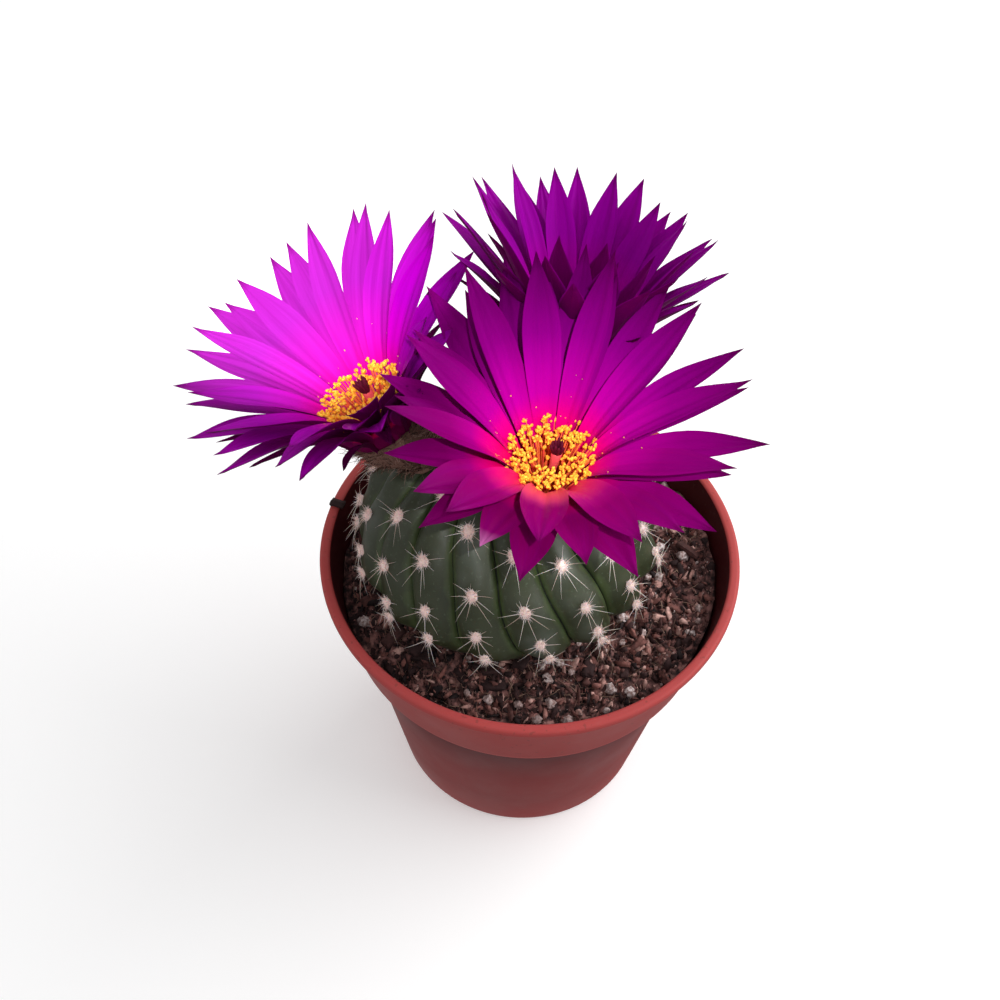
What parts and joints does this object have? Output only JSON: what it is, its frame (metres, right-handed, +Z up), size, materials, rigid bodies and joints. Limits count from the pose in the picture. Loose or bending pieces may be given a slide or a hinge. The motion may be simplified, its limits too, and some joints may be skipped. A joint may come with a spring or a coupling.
{
  "type": "potted round cactus",
  "caption": "Small round ribbed cactus with woolly spine tufts and open magenta blooms, standing in soil in a thin plastic nursery pot.",
  "frame": {"origin": "centre of the pot's flat underside", "axes": "+Z up through the pot; -Y towards the side first seen, where the front bloom opens; +X to the right"},
  "size_m": [0.1092, 0.0913, 0.1409],
  "materials": {
    "pot": "satin moulded terracotta-coloured plastic",
    "soil": "rough crumbly peat with pale grit",
    "cactus_skin": "waxy dark green skin with a pale bloom",
    "tube_wool": "matted tan wool",
    "petals": "silky magenta-purple",
    "stamens": "powdery yellow-orange",
    "pistil": "velvety dark red"
  },
  "bodies": {
    "root": {"pot": "pot", "soil": "soil", "cactus_body": "cactus_skin", "flower_front_tube": "tube_wool", "flower_front_petals": "petals", "flower_front_stamens": "stamens", "flower_front_pistil": "pistil", "flower_left_tube": "tube_wool", "flower_left_petals": "petals", "flower_left_stamens": "stamens", "flower_left_pistil": "pistil", "flower_back_tube": "tube_wool", "flower_back_petals": "petals", "flower_back_stamens": "stamens", "flower_back_pistil": "pistil"}
  },
  "joints": []
}
